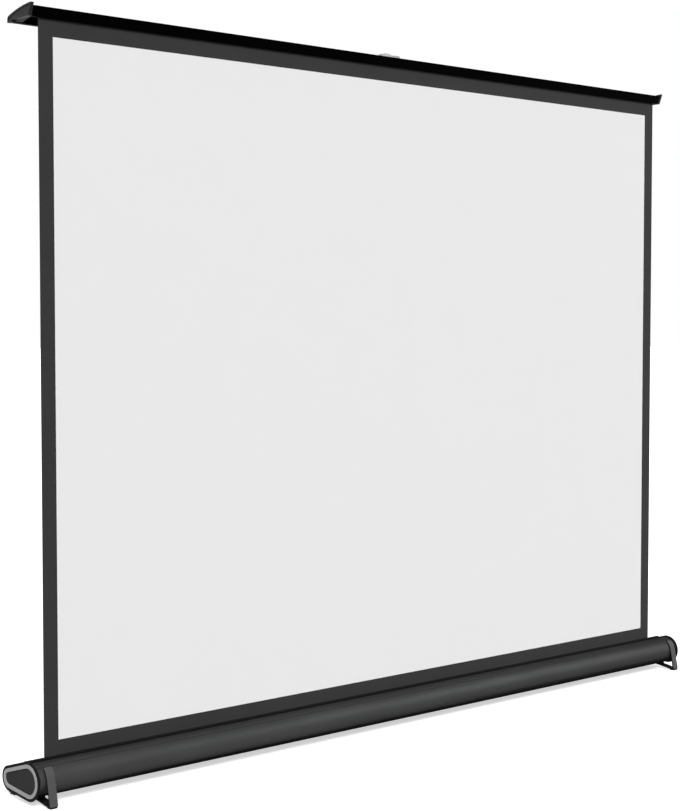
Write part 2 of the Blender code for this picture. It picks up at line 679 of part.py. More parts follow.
SKIRT_BOTTOM = BAR_BOTTOM - BAR_SKIRT_DROP


def make_bar():
    """The bar's extrusion: leaning front wall, sloping top, a lip at the rear, and a groove for the hem."""
    slot = HEM_SLOT_WIDTH / 2
    outer = HEM_RADIUS + HEM_GROOVE_WALL
    inner_edge = math.asin(slot / HEM_RADIUS)
    outer_edge = math.asin(slot / outer)
    down = 1.5 * math.pi
    ring = arc(HEM_CENTRE, outer, 2 * math.pi, down + outer_edge)
    groove = arc(HEM_CENTRE, HEM_RADIUS, down + inner_edge, down - inner_edge + 2 * math.pi, math.radians(15))
    outline = [(BAR_FRONT_FOOT_Y, BAR_BOTTOM)] + crown_to_rear(BAR_FRONT_Y, BAR_REAR_Y, 0.0, BAR_REAR_ROUND)
    outline += [(BAR_REAR_Y, SKIRT_BOTTOM), (BAR_REAR_Y - BAR_LIP_LENGTH, SKIRT_BOTTOM)]
    outline += [(BAR_REAR_Y - BAR_LIP_LENGTH, SKIRT_BOTTOM + BAR_WALL)]
    outline += [(BAR_REAR_Y - BAR_WALL, SKIRT_BOTTOM + BAR_WALL)]
    outline += crown_arc(BAR_REAR_Y - BAR_WALL, outer, -BAR_WALL)
    outline += ring
    outline += groove
    outline += [(-slot, HEM_CENTRE[1] - outer * math.cos(outer_edge)), (BAR_FRONT_FOOT_Y + BAR_WALL, BAR_BOTTOM)]
    bar = prism("top_bar", [outline], -BAR_HALF_LENGTH, BAR_HALF_LENGTH, finish=BLACK_METAL)
    for side in (-1, 1):
        hole = bar_screw_place(side, -BAR_WALL)
        bar = cut(bar, turned("screw_hole", screw_hole_profile(), hole, INTO_BAR, collection=cutters))
    rod = [circle(HEM_CENTRE, HEM_ROD_RADIUS, 16)]
    prism("hem_rod", rod, -FABRIC_HALF_WIDTH, FABRIC_HALF_WIDTH, finish=DARK_PLASTIC)

    cap_front, cap_rear = BAR_FRONT_Y - SEAT_GAP, BAR_REAR_Y + BAR_CAP_REAR_PROUD
    plug_end = BAR_REAR_Y - BAR_LIP_LENGTH - BAR_SKIRT_DROP
    cap_round = BAR_REAR_ROUND + BAR_CAP_REAR_PROUD
    lip = BAR_REAR_Y - BAR_LIP_LENGTH
    face = [(BAR_FRONT_FOOT_Y, BAR_BOTTOM)] + crown_to_rear(cap_front, cap_rear, BAR_CAP_PROUD, cap_round)
    face += [(cap_rear, SKIRT_BOTTOM), (lip, SKIRT_BOTTOM), (plug_end, BAR_BOTTOM)]
    edge = BAR_CAP_EDGE
    recess = [(BAR_FRONT_FOOT_Y + edge / 2, BAR_BOTTOM + edge)]
    recess += crown_to_rear(cap_front + edge, cap_rear - edge, BAR_CAP_PROUD - edge, cap_round - edge)
    recess += [(cap_rear - edge, SKIRT_BOTTOM + edge), (lip + edge / 2, SKIRT_BOTTOM + edge)]
    recess += [(plug_end + edge / 2, BAR_BOTTOM + edge)]
    under = crown_arc(outer + SEAT_GAP, plug_end, -BAR_WALL - SEAT_GAP)
    plug = under + [(y, z - BAR_PLUG_HEIGHT) for y, z in reversed(under)]
    for name, side in SIDES.items():
        start = side * (BAR_HALF_LENGTH + SEAT_GAP)
        end = start + side * BAR_CAP_THICKNESS
        cap = prism("bar_cap_" + name, [face], start, end, finish=DARK_PLASTIC)
        cap = cut(cap, prism("recess", [recess], end - side * BAR_CAP_RECESS, end + side * SEAT_GAP))
        spigot = prism("spigot", [plug], side * (BAR_HALF_LENGTH - BAR_PLUG_LENGTH), start + side * SEAT_GAP)
        join(cap, spigot)


# Folding arm

BAR_PIVOT_Z = BAR_BOTTOM - BAR_PIVOT_DROP
KNEE_Z = (ARM_PIVOT_Z + BAR_PIVOT_Z) / 2
PIVOT_BORE = PIN_RADIUS + RUN_GAP
BRACKET_FLOOR = bottom_height(TOP_EAR_Y, INNER) + SEAT_GAP
CEILING = -BAR_WALL - SEAT_GAP
SCREW_X = (BRACKET_HALF_LENGTH + EYE_RADIUS) / 2 + RUN_GAP
SCREW_Y = (EAR_BACK + TOP_EAR_Y) / 2


SCREW_FACING = crown_angle(SCREW_Y)
INTO_BAR = (0, -math.cos(SCREW_FACING), -math.sin(SCREW_FACING))


def bar_screw_place(side, grow):
    """A point of a bar screw's axis, which stands square to the bar's top."""
    reach = BAR_CROWN_RADIUS + grow
    return (side * SCREW_X, CROWN[0] + reach * math.cos(SCREW_FACING), CROWN[1] + reach * math.sin(SCREW_FACING))


def screw_hole_profile():
    """A cutter for a bracket screw's hole in a wall."""
    radius = SCREW_RADIUS + RUN_GAP
    depth = BRACKET_SCREW_LENGTH + SEAT_GAP
    return [(0, BRACKET_PLATE), (radius, BRACKET_PLATE), (radius, -depth), (0, -depth)]


def bracket_screw_place(side):
    """Where a screw of the lower bracket enters the trough's floor."""
    return (side * SCREW_X, SCREW_Y, bottom_height(SCREW_Y, INNER))


def eye_neck():
    """The angle on an eye where the link's straight edge meets it."""
    return math.asin(LINK_HALF_WIDTH / EYE_RADIUS)


def link_outline(low, high, top=None):
    """A flat link between two eyes, with its upper end drawn otherwise where a shape is given."""
    neck = eye_neck()
    upper = top or arc((0, high), EYE_RADIUS, neck - math.pi / 2, 1.5 * math.pi - neck)
    return upper + arc((0, low), EYE_RADIUS, neck + math.pi / 2, 2.5 * math.pi - neck)


def knee_end(stop):
    """The lower link's upper end: its eye, drawn out to a lug for the stop."""
    knee, lug = (0, KNEE_Z), 2 * STOP_RADIUS
    upper, lower = drop_angles(knee, EYE_RADIUS, stop, lug)
    neck = eye_neck()
    return (arc(knee, EYE_RADIUS, neck - math.pi / 2, lower) + arc(stop, lug, lower, upper)
            + arc(knee, EYE_RADIUS, upper, 1.5 * math.pi - neck))


def rivet(name, z, start, end, finish=STEEL):
    """A pin along Y between two depths, with a head outside each end."""
    head = PIN_HEAD_THICKNESS
    span = end - start
    profile = [(0, span + head), (PIN_HEAD_RADIUS, span + head), (PIN_HEAD_RADIUS, span), (PIN_RADIUS, span),
               (PIN_RADIUS, 0), (PIN_HEAD_RADIUS, 0), (PIN_HEAD_RADIUS, -head), (0, -head)]
    turned(name, profile, (0, start, z), (0, 1, 0), finish=finish)


def washer(name, z, front, thickness):
    rings = [circle((0, z), WASHER_RADIUS), circle((0, z), PIVOT_BORE)]
    prism(name, rings, -front, -front - thickness, ALONG, finish=DARK_PLASTIC)


def ear_outline(pivot_z, root_z):
    """An upright ear with a round end at its pivot, wide at its root."""
    up = 1 if pivot_z > root_z else -1
    tip = arc((0, pivot_z), EYE_RADIUS, 0, up * math.pi)
    return tip + [(-BRACKET_HALF_LENGTH, root_z), (BRACKET_HALF_LENGTH, root_z)]


def make_arm():
    bore = circle((0, ARM_PIVOT_Z), PIVOT_BORE)
    ear = [ear_outline(ARM_PIVOT_Z, BRACKET_FLOOR), bore]
    bracket = prism("arm_bracket", ear, -ARM_STACK_Y, -EAR_BACK, ALONG, finish=STEEL)
    flange = round_box((-BRACKET_HALF_LENGTH, EAR_BACK - SEAT_GAP), (BRACKET_HALF_LENGTH, TOP_EAR_Y), PIN_RADIUS)
    plate = prism("plate", [flange], BRACKET_FLOOR, BRACKET_FLOOR + BRACKET_PLATE / 2, Matrix())
    bracket = join(bracket, plate)
    root = crown_height(TOP_EAR_Y + BRACKET_PLATE, CEILING)
    upper = [ear_outline(BAR_PIVOT_Z, root), circle((0, BAR_PIVOT_Z), PIVOT_BORE)]
    top = prism("bar_bracket", upper, -TOP_EAR_Y, -TOP_EAR_Y - BRACKET_PLATE, ALONG, finish=STEEL)
    rest = crown_arc(EAR_BACK, TOP_EAR_Y + SEAT_GAP, CEILING)
    rest += crown_arc(TOP_EAR_Y + SEAT_GAP, EAR_BACK, CEILING - BRACKET_PLATE / 2)
    top = join(top, prism("plate", [rest], -BRACKET_HALF_LENGTH, BRACKET_HALF_LENGTH))
    for name, side in SIDES.items():
        hole = circle((side * SCREW_X, SCREW_Y), SCREW_RADIUS + RUN_GAP, 12)
        low, high = BRACKET_FLOOR - SEAT_GAP, BRACKET_FLOOR + BRACKET_PLATE
        bracket = cut(bracket, prism("hole", [hole], low, high, Matrix(), cutters))
        bed = bar_screw_place(side, CEILING - BRACKET_PLATE / 2)
        top = cut(top, turned("hole", screw_hole_profile(), bed, INTO_BAR, 12, cutters))
        reach = BRACKET_PLATE / 2 + 2 * SEAT_GAP + BRACKET_SCREW_LENGTH
        head = SCREW_HEAD_THICKNESS
        profile = [(0, head), (SCREW_HEAD_RADIUS, head), (SCREW_HEAD_RADIUS, 0), (SCREW_RADIUS, 0),
                   (SCREW_RADIUS, -reach), (0, -reach)]
        above = BRACKET_FLOOR + BRACKET_PLATE / 2 + SEAT_GAP
        turned("arm_screw_" + name, profile, (side * SCREW_X, SCREW_Y, above), (0, 0, 1), 12, finish=STEEL)
        below = bar_screw_place(side, CEILING - BRACKET_PLATE / 2 - SEAT_GAP)
        turned("bar_screw_" + name, profile, below, INTO_BAR, 12, finish=STEEL)

    stop = (LINK_HALF_WIDTH + SEAT_GAP + STOP_RADIUS, KNEE_Z + STOP_RISE)
    knee_bore = circle((0, KNEE_Z), PIVOT_BORE)
    lower = [link_outline(ARM_PIVOT_Z, KNEE_Z, knee_end(stop)), bore, knee_bore]
    prism("lower_arm", lower + [circle(stop, STOP_RADIUS + RUN_GAP, 16)], -LOWER_Y, -LOWER_Y - LINK_THICKNESS, ALONG,
          finish=STEEL)
    prism("knee_stop", [circle(stop, STOP_RADIUS, 16)], -LOWER_Y, -UPPER_Y - LINK_THICKNESS, ALONG, finish=STEEL)
    upper = [link_outline(KNEE_Z, BAR_PIVOT_Z), knee_bore, circle((0, BAR_PIVOT_Z), PIVOT_BORE)]
    prism("upper_arm", upper, -UPPER_Y, -UPPER_Y - LINK_THICKNESS, ALONG, finish=STEEL)
    washer("arm_washer", ARM_PIVOT_Z, ARM_WASHER_Y, ARM_WASHER_THICKNESS)
    washer("knee_washer", KNEE_Z, KNEE_WASHER_Y, KNEE_WASHER_THICKNESS)
    rivet("arm_pin", ARM_PIVOT_Z, ARM_STACK_Y - SEAT_GAP, LOWER_Y + LINK_THICKNESS + SEAT_GAP)
    rivet("knee_pin", KNEE_Z, LOWER_Y - SEAT_GAP, UPPER_Y + LINK_THICKNESS + SEAT_GAP)
    rivet("bar_pin", BAR_PIVOT_Z, UPPER_Y - SEAT_GAP, TOP_EAR_Y + BRACKET_PLATE + SEAT_GAP)


# Pull tab


def bar_bed(low_x, high_x):
    """A cutter of the bar's top, a gap higher, that beds what stands on it."""
    bed = crown_arc(BAR_FRONT_Y, BAR_REAR_Y, SEAT_GAP) + [(BAR_REAR_Y, BAR_BOTTOM), (BAR_FRONT_Y, BAR_BOTTOM)]
    return prism("bed", [bed], low_x - SEAT_GAP, high_x + SEAT_GAP, ACROSS, cutters)


def make_tab():
    """The grip on top of the bar: a crowned tab that lies flat and turns up about a pin in its block."""
    floor = BAR_TOP + SEAT_GAP
    back = TAB_FRONT_Y + TAB_DEPTH
    pivot = (TAB_END_X + TAB_PIN_INSET, floor + SEAT_GAP + TAB_KNUCKLE_RADIUS)
    far = TAB_END_X - TAB_LENGTH
    side = floor + TAB_HEIGHT
    crown = [(TAB_END_X + (far - TAB_END_X) * i / 10, side + TAB_CROWN * math.sin(math.pi * i / 10))
             for i in range(11)]
    base = crown_height(back)
    tab = prism("pull_tab", [[(far, base), (TAB_END_X, base)] + crown], -TAB_FRONT_Y, -back, ALONG,
                finish=LIGHT_PLASTIC)
    tab = cut(tab, bar_bed(far, TAB_END_X))
    middle = TAB_FRONT_Y + TAB_DEPTH / 2
    tongue_low, tongue_high = middle - TONGUE_WIDTH / 2, middle + TONGUE_WIDTH / 2
    tongue = arc(pivot, TAB_KNUCKLE_RADIUS, -math.pi / 2, math.pi / 2)
    tongue += [(TAB_END_X - SEAT_GAP, pivot[1] + TAB_KNUCKLE_RADIUS), (TAB_END_X - SEAT_GAP, floor + SEAT_GAP)]
    tab = join(tab, prism("tongue", [tongue], -tongue_low, -tongue_high, ALONG))
    hole = [circle(pivot, TAB_PIN_RADIUS + RUN_GAP, 16)]
    cut(tab, prism("tongue_bore", hole, -TAB_FRONT_Y, -back, ALONG, cutters))

    start = TAB_END_X + BLOCK_GAP
    end = start + BLOCK_LENGTH
    swing = TAB_PIN_INSET - BLOCK_GAP
    top = pivot[1] + swing
    outline = [(start, base), (end, base)]
    outline += arc((end - BLOCK_CORNER, top - BLOCK_CORNER), BLOCK_CORNER, 0, math.pi / 2, math.radians(30))
    outline += arc(pivot, swing, math.pi / 2, math.pi, math.radians(15))
    block = prism("tab_block", [outline], -TAB_FRONT_Y, -back, ALONG, finish=GREY_PLASTIC)
    block = cut(block, bar_bed(start, end))
    clear = pivot[0] + 2 * TAB_KNUCKLE_RADIUS
    slot = box_outline((start - SEAT_GAP, base - SEAT_GAP), (clear, top + SEAT_GAP))
    block = cut(block, prism("slot", [slot], -tongue_low + SEAT_GAP, -tongue_high - SEAT_GAP, ALONG, cutters))
    cut(block, prism("pin_bore", hole, -TAB_FRONT_Y + SEAT_GAP, -back - SEAT_GAP, ALONG, cutters))
    prism("tab_pin", [circle(pivot, TAB_PIN_RADIUS, 16)], -TAB_FRONT_Y - SEAT_GAP, -back + SEAT_GAP, ALONG,
          finish=STEEL)


make_housing()
make_seal()
make_feet()
make_caps()
make_roller()
make_fabric()
make_bar()
make_arm()
make_tab()
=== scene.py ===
"""Looks of the tabletop projection screen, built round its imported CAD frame: the finishes, the cloth, the light and
the camera. Metres, +Z up, in the frame of the CAD model."""
import math

import bpy
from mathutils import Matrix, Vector, noise


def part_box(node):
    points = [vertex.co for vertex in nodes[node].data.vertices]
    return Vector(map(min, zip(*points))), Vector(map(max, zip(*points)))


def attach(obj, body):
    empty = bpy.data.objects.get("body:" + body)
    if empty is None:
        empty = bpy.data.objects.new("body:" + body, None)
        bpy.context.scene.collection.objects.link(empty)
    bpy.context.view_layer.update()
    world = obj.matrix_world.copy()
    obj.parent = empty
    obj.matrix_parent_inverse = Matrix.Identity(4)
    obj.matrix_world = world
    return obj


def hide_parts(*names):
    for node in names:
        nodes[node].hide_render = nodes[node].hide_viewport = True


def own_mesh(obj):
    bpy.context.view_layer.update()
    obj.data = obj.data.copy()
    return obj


# Camera at the photograph's viewing angle, for an image of 680 by 811
CAMERA_PLACE = (-1.4884, -1.5610, 0.5156)
CAMERA_PITCH = -0.04825
CAMERA_TURN = -0.72883
LENS_MM = 74.48
SENSOR_MM = 36.0

# Lamps: name, the direction they shine in, strength, and spread in degrees
LAMPS = (
    ("key", (0.44, 0.69, -0.58), 2.60, 20),
    ("fill", (-0.86, 0.40, -0.31), 1.8, 40),
    ("back", (0.30, -0.75, -0.58), 1.0, 40),
)

# Floor and sky. The camera sees the floor's shade with a glow added, and what lights the part is dimmer.
FLOOR_REACH = 30.0
FLOOR_LEVEL = 0.88
FLOOR_GLOW = 0.54
FLOOR_BOUNCE = 0.05
SKY_LIGHT = 0.35
SKY_WHITE = 1.0

# Sheet above the slot: the picture, its border, and where the sheet leaves the housing
PICTURE_HALF_WIDTH = 0.508
PICTURE_BOTTOM = 0.0615803
PICTURE_TOP = 0.8235803
SLOT_Z = 0.0409803
BEND_Z = 0.0390978
CLOTH_THICKNESS = 0.0004
BORDER_STEP = 0.01
PICTURE_STEP = 0.034
SHARP_ANGLE = math.radians(40)

# Slack of the sheet: its most, its share at mid-width, and its waves. A wave has its scale per metre across and
# upward, its place in the noise, and its share.
SLACK = 0.00022
MIDDLE_SLACK = 0.35
EDGE_POWER = 4
SLACK_WAVES = ((3.1, 5.3, 0.4, 1.0), (9.0, 2.0, 7.7, 0.5))

# What is left on the roller, and the sheet from there to the slot
ROLL_CENTRE = (-0.0165, 0.0270)
ROLL_INNER = 0.0099
ROLL_OUTER = 0.0112
ROLL_TURNS = 3
TURN_STEPS = 40
LAYER_THICKNESS = 0.00030
TAIL_STEPS = 8

# Painted shade on each foot, around its satin front band: between which places it turns dark, as painted shade under
# the housing, and how soon it turns dark as a face turns from the front, as painted shade on its sides
PAINTED_SHADE_FRONT_Y = -0.032
PAINTED_SHADE_REAR_Y = -0.022
PAINTED_SHADE_TURN = 0.8

# Grain of the finishes, per metre
DRAWN_LINES = (6.0, 2600.0, 2600.0)
DYE_CLOUD = (9.0, 60.0, 60.0)
PLASTIC_GRAIN = 1700.0
FINE_GRAIN = 2400.0
RUBBER_GRAIN = 900.0
PLASTIC_CLOUD = (45.0, 45.0, 45.0)
BRUSHED_UPWARD = (2400.0, 2400.0, 14.0)
BRUSHED_EVENLY = (900.0, 900.0, 900.0)
PLATING_BLOTCH = (160.0, 160.0, 160.0)
WEAVE_SCALE = 620.0
WEAVE_DISTORTION = 0.6
CLOTH_CLOUD = (14.0, 14.0, 14.0)

# Relief of the finishes, and the radius of the edges that are rounded in the shading
LINE_DEPTH = 0.00002
GRAIN_DEPTH = 0.00004
RUBBER_DEPTH = 0.00008
WEAVE_DEPTH = 0.00005
METAL_EDGE = 0.0003
PLASTIC_EDGE = 0.0004
FOOT_EDGE = 0.0003
PLATED_EDGE = 0.0002
BEVEL_SAMPLES = 6

# The stretch of a noise field over which a finish changes
FIELD_LOW = 0.3
FIELD_HIGH = 0.7

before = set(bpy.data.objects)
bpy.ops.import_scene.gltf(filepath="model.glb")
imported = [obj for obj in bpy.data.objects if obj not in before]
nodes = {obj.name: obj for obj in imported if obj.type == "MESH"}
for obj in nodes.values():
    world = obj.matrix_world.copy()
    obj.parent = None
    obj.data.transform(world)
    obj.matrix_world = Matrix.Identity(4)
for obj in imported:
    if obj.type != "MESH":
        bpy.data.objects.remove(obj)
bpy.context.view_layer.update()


# Finishes


class Finish:
    """A Principled material that is put together from named texture steps."""

    def __init__(self, name, roughness, metallic, specular):
        self.material = bpy.data.materials.new(name)
        self.material.use_nodes = True
        self.tree = self.material.node_tree
        self.shader = self.tree.nodes["Principled BSDF"]
        self.set("Roughness", roughness)
        self.set("Metallic", metallic)
        self.set("Specular IOR Level", specular)
        coordinates = self.add("ShaderNodeTexCoord").outputs
        self.place = coordinates["Object"]
        self.normal = coordinates["Normal"]

    def set(self, socket, value):
        self.shader.inputs[socket].default_value = value

    def add(self, kind, links=(), **settings):
        """Add a node, set its sockets or properties by name, and link outputs to its inputs."""
        node = self.tree.nodes.new(kind)
        for key, value in settings.items():
            if hasattr(node, key):
                setattr(node, key, value)
            else:
                node.inputs[key.replace("_", " ").title()].default_value = value
        for socket, source in links:
            self.tree.links.new(source, node.inputs[socket])
        return node

    def link(self, source, socket):
        self.tree.links.new(source, self.shader.inputs[socket])

    def noise(self, per_metre, detail=3.0):
        """A noise field with its own grain along each axis."""
        scaled = self.add("ShaderNodeMapping", [("Vector", self.place)], scale=per_metre)
        return self.add("ShaderNodeTexNoise", [("Vector", scaled.outputs[0])], scale=1.0, detail=detail).outputs[0]

    def wave(self, direction):
        """The threads of a weave that repeat along one axis."""
        return self.add("ShaderNodeTexWave", [("Vector", self.place)], wave_type="BANDS", bands_direction=direction,
                        scale=WEAVE_SCALE, distortion=WEAVE_DISTORTION).outputs["Fac"]

    def along_y(self, vector):
        return self.add("ShaderNodeSeparateXYZ", [(0, vector)]).outputs["Y"]

    def vary_colour(self, field, first, last):
        """Run the base colour from one colour to another over a field."""
        ramp = self.add("ShaderNodeValToRGB", [("Fac", field)])
        ends = zip(ramp.color_ramp.elements, (FIELD_LOW, FIELD_HIGH), (first, last))
        for end, position, colour in ends:
            end.position = position
            end.color = (*colour, 1.0)
        self.link(ramp.outputs[0], "Base Color")

    def vary_roughness(self, field, low, high):
        spread = self.add("ShaderNodeMapRange", [("Value", field)], from_min=FIELD_LOW, from_max=FIELD_HIGH,
                          to_min=low, to_max=high)
        self.link(spread.outputs[0], "Roughness")

    def relief(self, field, height, strength, edge=0.0):
        """Bump from a field, over edges that are rounded in the shading."""
        links = [("Height", field)]
        if edge:
            rounded = self.add("ShaderNodeBevel", samples=BEVEL_SAMPLES, radius=edge)
            links.append(("Normal", rounded.outputs[0]))
        bump = self.add("ShaderNodeBump", links, strength=strength, distance=height)
        self.link(bump.outputs[0], "Normal")

    def skin(self, roughness, grain, depth, edge):
        """The fine spark-eroded grain of a moulded piece."""
        field = self.noise((grain, grain, grain), 2.0)
        self.vary_roughness(field, roughness - 0.07, roughness + 0.07)
        self.relief(field, depth, 0.6, edge)


def tint(level, warm=0.0):
    """A grey, a little warm or cool."""
    return (level * (1 + warm), level, level * (1 - warm))


def anodised(name, level, roughness, specular, metallic=0.0):
    """Drawn aluminium with a dyed skin: lines along X, a slight cloud in the dye, and no bright rim."""
    made = Finish(name, roughness, metallic, specular)
    made.set("Specular Tint", (0.0, 0.0, 0.0, 1.0))
    lines = made.noise(DRAWN_LINES)
    made.vary_colour(made.noise(DYE_CLOUD), tint(level * 0.93, -0.01), tint(level * 1.07, -0.01))
    made.vary_roughness(lines, roughness - 0.06, roughness + 0.06)
    made.relief(lines, LINE_DEPTH, 0.5, METAL_EDGE)
    return made.material


def moulded(name, level, roughness, specular, grain=PLASTIC_GRAIN, depth=GRAIN_DEPTH):
    """Moulded plastic or rubber with a grain and a slight cloud."""
    made = Finish(name, roughness, 0.0, specular)
    made.vary_colour(made.noise(PLASTIC_CLOUD), tint(level * 0.94), tint(level * 1.06))
    made.skin(roughness, grain, depth, PLASTIC_EDGE)
    return made.material


def front_band_with_painted_shade(name, level, painted_shade_level, roughness, specular):
    """Moulded plastic with a satin band down what faces the front, and painted shade elsewhere: dark on faces that
    turn from the front and on what lies behind the band.
    """
    made = Finish(name, roughness, 0.0, specular)
    # Painted shade on the faces that turn from the front
    aside = made.add("ShaderNodeMath", [(0, made.along_y(made.normal))], operation="MULTIPLY_ADD")
    for factor in (1, 2):
        aside.inputs[factor].default_value = PAINTED_SHADE_TURN
    # Painted shade on what lies behind the front band, under the housing
    behind = made.add("ShaderNodeMapRange", [("Value", made.along_y(made.place))], from_min=PAINTED_SHADE_FRONT_Y,
                      from_max=PAINTED_SHADE_REAR_Y)
    dark = made.add("ShaderNodeMath", [(0, aside.outputs[0]), (1, behind.outputs[0])], operation="MAXIMUM")
    made.vary_colour(dark.outputs[0], tint(level), tint(painted_shade_level))
    made.skin(roughness, PLASTIC_GRAIN, GRAIN_DEPTH, FOOT_EDGE)
    return made.material


def plated(name, level, roughness, lines):
    """Zinc-plated steel, brushed the way the lines run, with a blotchy plating."""
    made = Finish(name, roughness, 1.0, 0.5)
    brushed = made.noise(lines)
    made.vary_colour(made.noise(PLATING_BLOTCH, 4.0), tint(level * 0.86, -0.015), tint(level * 1.10, 0.01))
    made.vary_roughness(brushed, roughness - 0.10, roughness + 0.12)
    made.relief(brushed, LINE_DEPTH, 0.5, PLATED_EDGE)
    return made.material


def cloth(name, level, spread, roughness, specular, sheen):
    """Coated cloth: a plain weave that shows through a matt coat."""
    made = Finish(name, roughness, 0.0, specular)
    made.set("Sheen Weight", sheen)
    made.set("Sheen Roughness", 0.5)
    weave = made.add("ShaderNodeMath", [(0, made.wave("X")), (1, made.wave("Z"))], operation="MULTIPLY")
    made.vary_colour(made.noise(CLOTH_CLOUD), tint(level * (1 - spread)), tint(level * (1 + spread)))
    made.relief(weave.outputs[0], WEAVE_DEPTH, 0.25)
    return made.material


CHARCOAL = anodised("charcoal_anodised", level=0.046, roughness=0.39, specular=0.0, metallic=0.42)
BLACK_METAL = anodised("black_anodised", level=0.0010, roughness=0.50, specular=0.006)
RIM_PLASTIC = moulded("rim_plastic", level=0.006, roughness=0.55, specular=0.03)
DARK_PLASTIC = moulded("dark_plastic", level=0.011, roughness=0.52, specular=0.12)
PLATE_PLASTIC = moulded("plate_plastic", level=0.0285, roughness=0.60, specular=0.05)
# The feet's dark sides and rear are painted shade, around a lighter front band
FOOT_PLASTIC_PAINTED_SHADE = front_band_with_painted_shade("foot_plastic", level=0.072, painted_shade_level=0.004, roughness=0.50, specular=0.05)
RING_PLASTIC = moulded("ring_plastic", level=0.370, roughness=0.42, specular=0.30, grain=FINE_GRAIN)
GREY_PLASTIC = moulded("grey_plastic", level=0.340, roughness=0.42, specular=0.45, grain=FINE_GRAIN)
LIGHT_PLASTIC = moulded("light_plastic", level=0.440, roughness=0.40, specular=0.40, grain=FINE_GRAIN)
RUBBER = moulded("black_rubber", level=0.006, roughness=0.85, specular=0.06, grain=RUBBER_GRAIN, depth=RUBBER_DEPTH)
ARM_STEEL = plated("arm_steel", level=0.42, roughness=0.38, lines=BRUSHED_UPWARD)
ZINC = plated("zinc_steel", level=0.46, roughness=0.34, lines=BRUSHED_EVENLY)
CLOTH_WHITE = cloth("white_cloth", level=0.805, spread=0.003, roughness=0.92, specular=0.25, sheen=0.05)
CLOTH_BORDER = cloth("black_border", level=0.031, spread=0.05, roughness=0.80, specular=0.10, sheen=0.02)
CLOTH_BACK = cloth("black_backing", level=0.026, spread=0.06, roughness=0.85, specular=0.10, sheen=0.03)

FINISHES = {
    CHARCOAL: ["housing"],
    BLACK_METAL: ["top_bar"],
    RIM_PLASTIC: ["end_cap_left", "end_cap_right"],
    DARK_PLASTIC: ["bar_cap_left", "bar_cap_right", "roller_plug_left", "roller_plug_right", "hem_rod", "arm_washer",
                   "knee_washer"],
    PLATE_PLASTIC: ["face_plate_left", "face_plate_right"],
    FOOT_PLASTIC_PAINTED_SHADE: ["foot_bracket_left", "foot_bracket_right"],
    RING_PLASTIC: ["trim_ring_left", "trim_ring_right"],
    GREY_PLASTIC: ["tab_block"],
    LIGHT_PLASTIC: ["pull_tab"],
    RUBBER: ["slot_seal", "foot_pad_left_front", "foot_pad_left_rear", "foot_pad_right_front", "foot_pad_right_rear"],
    ARM_STEEL: ["lower_arm", "upper_arm"],
    ZINC: ["roller_tube", "roller_arbor", "idler_pin", "roller_spring", "arm_bracket", "bar_bracket", "arm_pin",
           "knee_pin", "bar_pin", "knee_stop", "tab_pin", "arm_screw_left", "arm_screw_right", "bar_screw_left",
           "bar_screw_right", "cap_screw_left_front", "cap_screw_left_rear", "cap_screw_right_front",
           "cap_screw_right_rear"],
}
for finish, names in FINISHES.items():
    for name in names:
        for held in nodes[name].material_slots:
            held.material = finish


# Cloth


def piece(name, vertices, faces, materials, indices):
    """A mesh object with a material for each face, shaded smooth."""
    mesh = bpy.data.meshes.new(name)
    mesh.from_pydata(vertices, [], faces)
    for material in materials:
        mesh.materials.append(material)
    for polygon, index in zip(mesh.polygons, indices):
        polygon.material_index = index
    mesh.shade_smooth()
    mesh.set_sharp_from_angle(angle=SHARP_ANGLE)
    made = bpy.data.objects.new(name, mesh)
    bpy.context.scene.collection.objects.link(made)
    return made


def steps(low, high, longest):
    """Even places from low up to high, which is left out, no further apart than the longest step."""
    count = max(1, math.ceil((high - low) / longest))
    return [low + (high - low) * i / count for i in range(count)]


def slack(x, z, top):
    """How far the hung sheet stands off its plane: nothing at its held ends, most by its free edges."""
    held = math.sin(math.pi * (z - SLOT_Z) / (top - SLOT_Z))
    wave = sum(share * noise.noise(Vector((across * x, place, upward * z)))
               for across, upward, place, share in SLACK_WAVES)
    free = MIDDLE_SLACK + (1 - MIDDLE_SLACK) * (abs(x) / PICTURE_HALF_WIDTH) ** EDGE_POWER
    return SLACK * held * free * wave


def make_screen():
    """The sheet above the slot: white picture and black border in front, black coat behind."""
    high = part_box("screen_fabric")[1]
    half, top = high[0], high[2]
    across = (steps(-half, -PICTURE_HALF_WIDTH, BORDER_STEP)
              + steps(-PICTURE_HALF_WIDTH, PICTURE_HALF_WIDTH, PICTURE_STEP)
              + steps(PICTURE_HALF_WIDTH, half, BORDER_STEP) + [half])
    upward = (steps(SLOT_Z, PICTURE_BOTTOM, BORDER_STEP) + steps(PICTURE_BOTTOM, PICTURE_TOP, PICTURE_STEP)
              + steps(PICTURE_TOP, top, BORDER_STEP) + [top])
    columns, rows = len(across), len(upward)
    front_sheet, back_sheet = ([(x, slack(x, z, top) + side, z) for z in upward for x in across]
                               for side in (-CLOTH_THICKNESS / 2, CLOTH_THICKNESS / 2))
    back = columns * rows
    white, border, coat = range(3)
    faces, indices = [], []
    for row in range(rows - 1):
        for column in range(columns - 1):
            corner = row * columns + column
            quad = (corner, corner + 1, corner + columns + 1, corner + columns)
            inside = (abs(across[column] + across[column + 1]) / 2 < PICTURE_HALF_WIDTH
                      and PICTURE_BOTTOM < (upward[row] + upward[row + 1]) / 2 < PICTURE_TOP)
            faces += [quad, tuple(back + i for i in reversed(quad))]
            indices += [white if inside else border, coat]
    rim = (list(range(columns)) + [row * columns + columns - 1 for row in range(1, rows)]
           + [(rows - 1) * columns + i for i in range(columns - 2, -1, -1)]
           + [row * columns for row in range(rows - 2, 0, -1)])
    for here, following in zip(rim, rim[1:] + rim[:1]):
        faces.append((following, here, back + here, back + following))
        indices.append(border)
    sheet = piece("screen_cloth", front_sheet + back_sheet, faces, [CLOTH_WHITE, CLOTH_BORDER, CLOTH_BACK], indices)
    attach(sheet, "base")
    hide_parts("screen_fabric")
    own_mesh(sheet)


